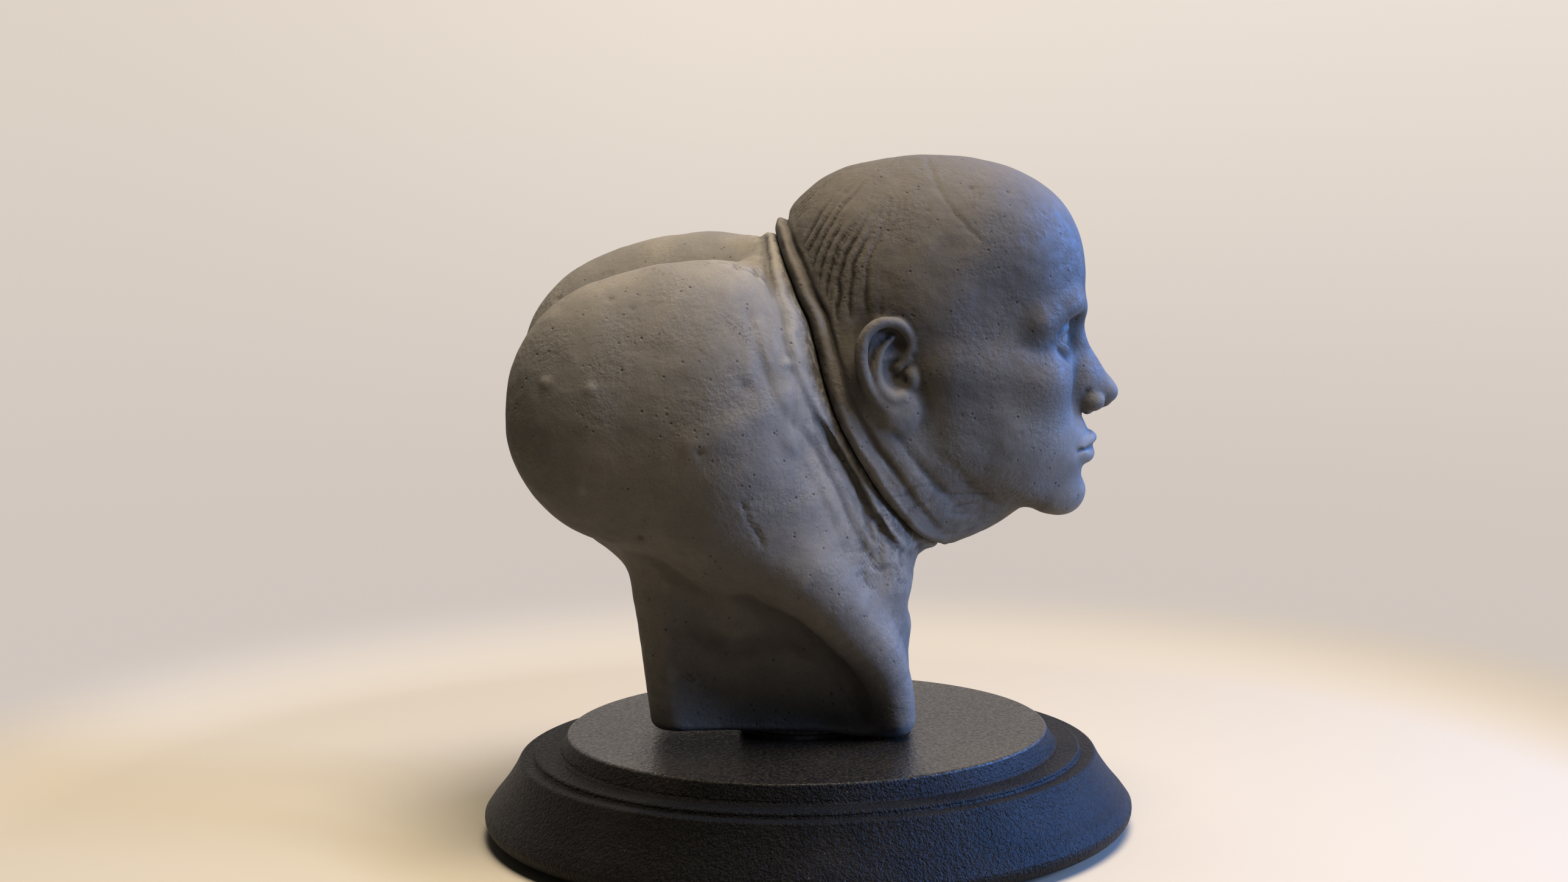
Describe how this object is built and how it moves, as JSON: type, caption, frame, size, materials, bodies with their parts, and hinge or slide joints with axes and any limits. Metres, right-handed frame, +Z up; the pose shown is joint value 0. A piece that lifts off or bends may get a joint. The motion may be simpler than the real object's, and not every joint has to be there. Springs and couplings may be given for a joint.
{
  "type": "clay bust on plinth",
  "caption": "Grey primed clay bust with a large calm head set forward of two rounded shoulder masses, turning on a stepped round black plinth.",
  "frame": {"origin": "centre of the plinth's footprint on the table", "axes": "+Z up along the armature post, +X the way the head faces"},
  "size_m": [0.165, 0.165, 0.1699],
  "materials": {
    "plinth_paint": "turned board sprayed with black texture paint, satin",
    "nylon": "natural nylon",
    "fibre": "dark fibre washer",
    "rubber": "matt",
    "steel": "zinc plated",
    "spring_steel": "dark spring steel",
    "clay_primer": "modelling clay under matt grey primer, faintly pebbled",
    "eye_primer": "matt grey primer",
    "foil": "crumpled kitchen foil",
    "wire": "soft armature wire"
  },
  "bodies": {
    "plinth": {"plinth": "plinth_paint", "plinth_sleeve": "nylon", "slip_disc": "fibre", "rubber_feet": "rubber", "feet_screws": "steel"},
    "bust": {"torso_clay": "clay_primer", "head_clay": "clay_primer", "eyeballs": "eye_primer", "torso_core": "foil", "head_core": "foil", "armature_post": "steel", "foot_plate": "steel", "jam_nut": "steel", "neck_wires": "wire", "shoulder_wire": "wire", "binding_wire": "wire", "flat_washer": "steel", "spring_washer": "spring_steel", "lock_nut": "steel"}
  },
  "joints": [
    {"name": "bust_swivel", "type": "hinge", "parent": "plinth", "child": "bust", "pos_m": [0, 0, 0.0253], "axis": [0, 0, 1], "continuous": true}
  ]
}
